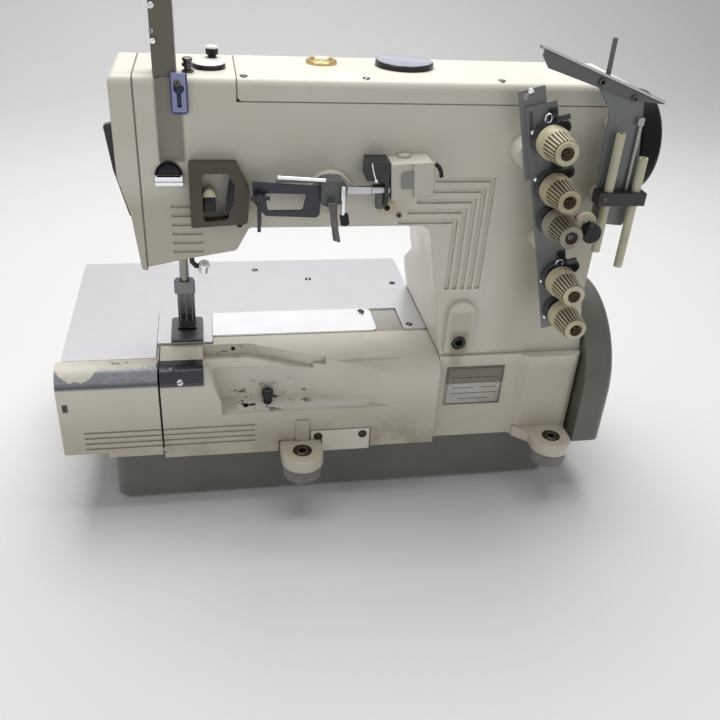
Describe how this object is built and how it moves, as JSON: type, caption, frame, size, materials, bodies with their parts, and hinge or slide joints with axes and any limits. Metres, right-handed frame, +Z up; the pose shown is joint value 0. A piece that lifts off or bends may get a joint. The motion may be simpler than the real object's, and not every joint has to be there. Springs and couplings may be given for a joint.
{
  "type": "coverstitch sewing machine",
  "caption": "Flatbed coverstitch machine head: cream arm over a long bed, needle bar, presser foot, row of thread tensions, handwheel and belt cover.",
  "frame": {"origin": "on the plane the oil pan rests on, plumb under the middle needle", "axes": "+X along the arm from the needles to the handwheel, +Y away from the operator, +Z up"},
  "size_m": [0.543, 0.3329, 0.498],
  "materials": {
    "cream_paint": "aged semi-gloss enamel",
    "sage_paint": "satin enamel",
    "taupe_paint": "satin enamel",
    "slate_paint": "worn satin enamel",
    "black_paint": "satin enamel",
    "pan_paint": "satin enamel",
    "steel": "ground",
    "plate_steel": "polished",
    "chrome": "polished",
    "iron": "machined",
    "bronze": "machined",
    "rubber": "matt",
    "ivory_plastic": "yellowed",
    "black_plastic": "glossy",
    "blue_plate": "satin",
    "clear": "clear"
  },
  "bodies": {
    "head": {"arm_casting": "cream_paint", "top_lid": "cream_paint", "face_cover": "cream_paint", "bed_casting": "cream_paint", "oil_pan": "pan_paint", "foot_cushions": "rubber", "cloth_plate": "plate_steel", "needle_plate": "plate_steel", "front_cover": "cream_paint", "edge_band": "steel", "cover_hinge_pin": "steel", "latch_plate": "cream_paint", "timing_belt": "rubber", "belt_cover": "sage_paint", "shaft_bushes": "bronze", "bar_bushes": "bronze", "take_up_guard": "taupe_paint", "keyhole_guide": "blue_plate", "thread_pocket": "chrome", "wiper_guard": "taupe_paint", "solenoid_box": "cream_paint", "solenoid_bracket": "black_paint", "thread_eyelet": "ivory_plastic", "head_plug": "black_plastic", "oil_sight": "bronze", "oil_sight_glass": "clear", "tension_plate": "slate_paint", "tension_discs": "black_paint", "tension_hooks": "chrome", "stand_plate": "slate_paint", "stand_channel": "slate_paint", "stand_clamp": "black_paint", "guide_tubes": "ivory_plastic"},
    "upper_shaft": {"main_shaft": "steel", "handwheel": "black_plastic"},
    "lower_shaft": {"lower_shaft": "steel", "drive_pulley": "iron"},
    "needle": {"needle_bar": "chrome", "needle_clamp": "chrome", "take_up_lever": "chrome"},
    "presser": {"presser_bar": "chrome", "presser_foot": "chrome"},
    "lifter": {"lifter_lever": "black_paint"},
    "pressure_screw": {"pressure_knob": "chrome"},
    "tension_1": {"tension_knob_1": "ivory_plastic"},
    "tension_2": {"tension_knob_2": "ivory_plastic"},
    "tension_3": {"tension_knob_3": "ivory_plastic"},
    "tension_4": {"tension_knob_4": "ivory_plastic"},
    "tension_5": {"tension_knob_5": "ivory_plastic"},
    "release": {"release_knob": "black_plastic"},
    "front_flap": {"looper_cover": "cream_paint"},
    "slide_cover": {"slide_plate": "plate_steel"},
    "button": {"push_button": "black_plastic"},
    "wiper": {"wiper_arm": "slate_paint", "wiper_bracket": "slate_paint"},
    "plunger": {"wiper_link": "steel"},
    "main_feed": {"main_feed_dog": "steel"},
    "front_feed": {"front_feed_dog": "steel"},
    "looper": {"looper": "steel"},
    "filler_cap": {"oil_cap": "black_plastic"}
  },
  "joints": [
    {"name": "handwheel_turn", "type": "hinge", "parent": "head", "child": "upper_shaft", "pos_m": [0.402, 0, 0.348], "axis": [1, 0, 0], "continuous": true},
    {"name": "lower_shaft_turn", "type": "hinge", "parent": "head", "child": "lower_shaft", "pos_m": [0.392, 0, 0.114], "axis": [1, 0, 0], "continuous": true},
    {"name": "needle_bar_slide", "type": "slide", "parent": "head", "child": "needle", "axis": [0, 0, -1], "range_m": [0, 0.031]},
    {"name": "lifter_swing", "type": "hinge", "parent": "head", "child": "lifter", "pos_m": [-0.019, 0.04, 0.316], "axis": [0, 1, 0], "range_deg": [0, 60]},
    {"name": "presser_slide", "type": "slide", "parent": "head", "child": "presser", "axis": [0, 0, 1], "range_m": [0, 0.007]},
    {"name": "pressure_screw_turn", "type": "hinge", "parent": "head", "child": "pressure_screw", "pos_m": [0.033, 0.008, 0.414], "axis": [0, 0, 1], "range_deg": [-720, 720]},
    {"name": "front_flap_swing", "type": "hinge", "parent": "head", "child": "front_flap", "pos_m": [-0.07, -0.06315, 0.06685], "axis": [1, 0, 0], "range_deg": [0, 75]},
    {"name": "slide_cover_slide", "type": "slide", "parent": "head", "child": "slide_cover", "axis": [1, 0, 0], "range_m": [0, 0.027]},
    {"name": "button_press", "type": "slide", "parent": "head", "child": "button", "axis": [0, 0, -1], "range_m": [0, 0.003], "stiffness_N_per_m": 400},
    {"name": "wiper_swing", "type": "hinge", "parent": "head", "child": "wiper", "pos_m": [0.124, -0.064, 0.3225], "axis": [0, 1, 0], "range_deg": [0, 12]},
    {"name": "plunger_slide", "type": "slide", "parent": "head", "child": "plunger", "axis": [1, 0, 0], "range_m": [0, 0.0016]},
    {"name": "main_feed_slide", "type": "slide", "parent": "head", "child": "main_feed", "axis": [0, 1, 0], "range_m": [-0.002, 0.002]},
    {"name": "front_feed_slide", "type": "slide", "parent": "head", "child": "front_feed", "axis": [0, 1, 0], "range_m": [-0.002, 0.002]},
    {"name": "looper_swing", "type": "hinge", "parent": "head", "child": "looper", "pos_m": [-0.038, 0.055, 0.095], "axis": [0, 1, 0], "range_deg": [0, 18]},
    {"name": "filler_cap_turn", "type": "hinge", "parent": "head", "child": "filler_cap", "pos_m": [0.191, -0.01, 0.412], "axis": [0, 0, 1], "range_deg": [0, 540]},
    {"name": "tension_1_turn", "type": "hinge", "parent": "head", "child": "tension_1", "pos_m": [0.295, -0.099, 0.3755], "axis": [0, 1, 0], "range_deg": [-720, 720]},
    {"name": "tension_2_turn", "type": "hinge", "parent": "head", "child": "tension_2", "pos_m": [0.30468, -0.099, 0.33669], "axis": [0, 1, 0], "range_deg": [-720, 720]},
    {"name": "tension_3_turn", "type": "hinge", "parent": "head", "child": "tension_3", "pos_m": [0.31218, -0.099, 0.30661], "axis": [0, 1, 0], "range_deg": [-720, 720]},
    {"name": "tension_4_turn", "type": "hinge", "parent": "head", "child": "tension_4", "pos_m": [0.32548, -0.099, 0.25324], "axis": [0, 1, 0], "range_deg": [-720, 720]},
    {"name": "tension_5_turn", "type": "hinge", "parent": "head", "child": "tension_5", "pos_m": [0.33371, -0.099, 0.22025], "axis": [0, 1, 0], "range_deg": [-720, 720]},
    {"name": "release_turn", "type": "hinge", "parent": "head", "child": "release", "pos_m": [0.33716, -0.108, 0.30356], "axis": [0, 1, 0], "range_deg": [-360, 360]}
  ],
  "couplings": [
    {"joint": "lower_shaft_turn", "follows": "handwheel_turn", "ratio": 1},
    {"joint": "presser_slide", "follows": "lifter_swing", "m_per_rad": 0.00668},
    {"joint": "plunger_slide", "follows": "wiper_swing", "m_per_rad": 0.007},
    {"joint": "front_feed_slide", "follows": "main_feed_slide", "ratio": 1}
  ]
}
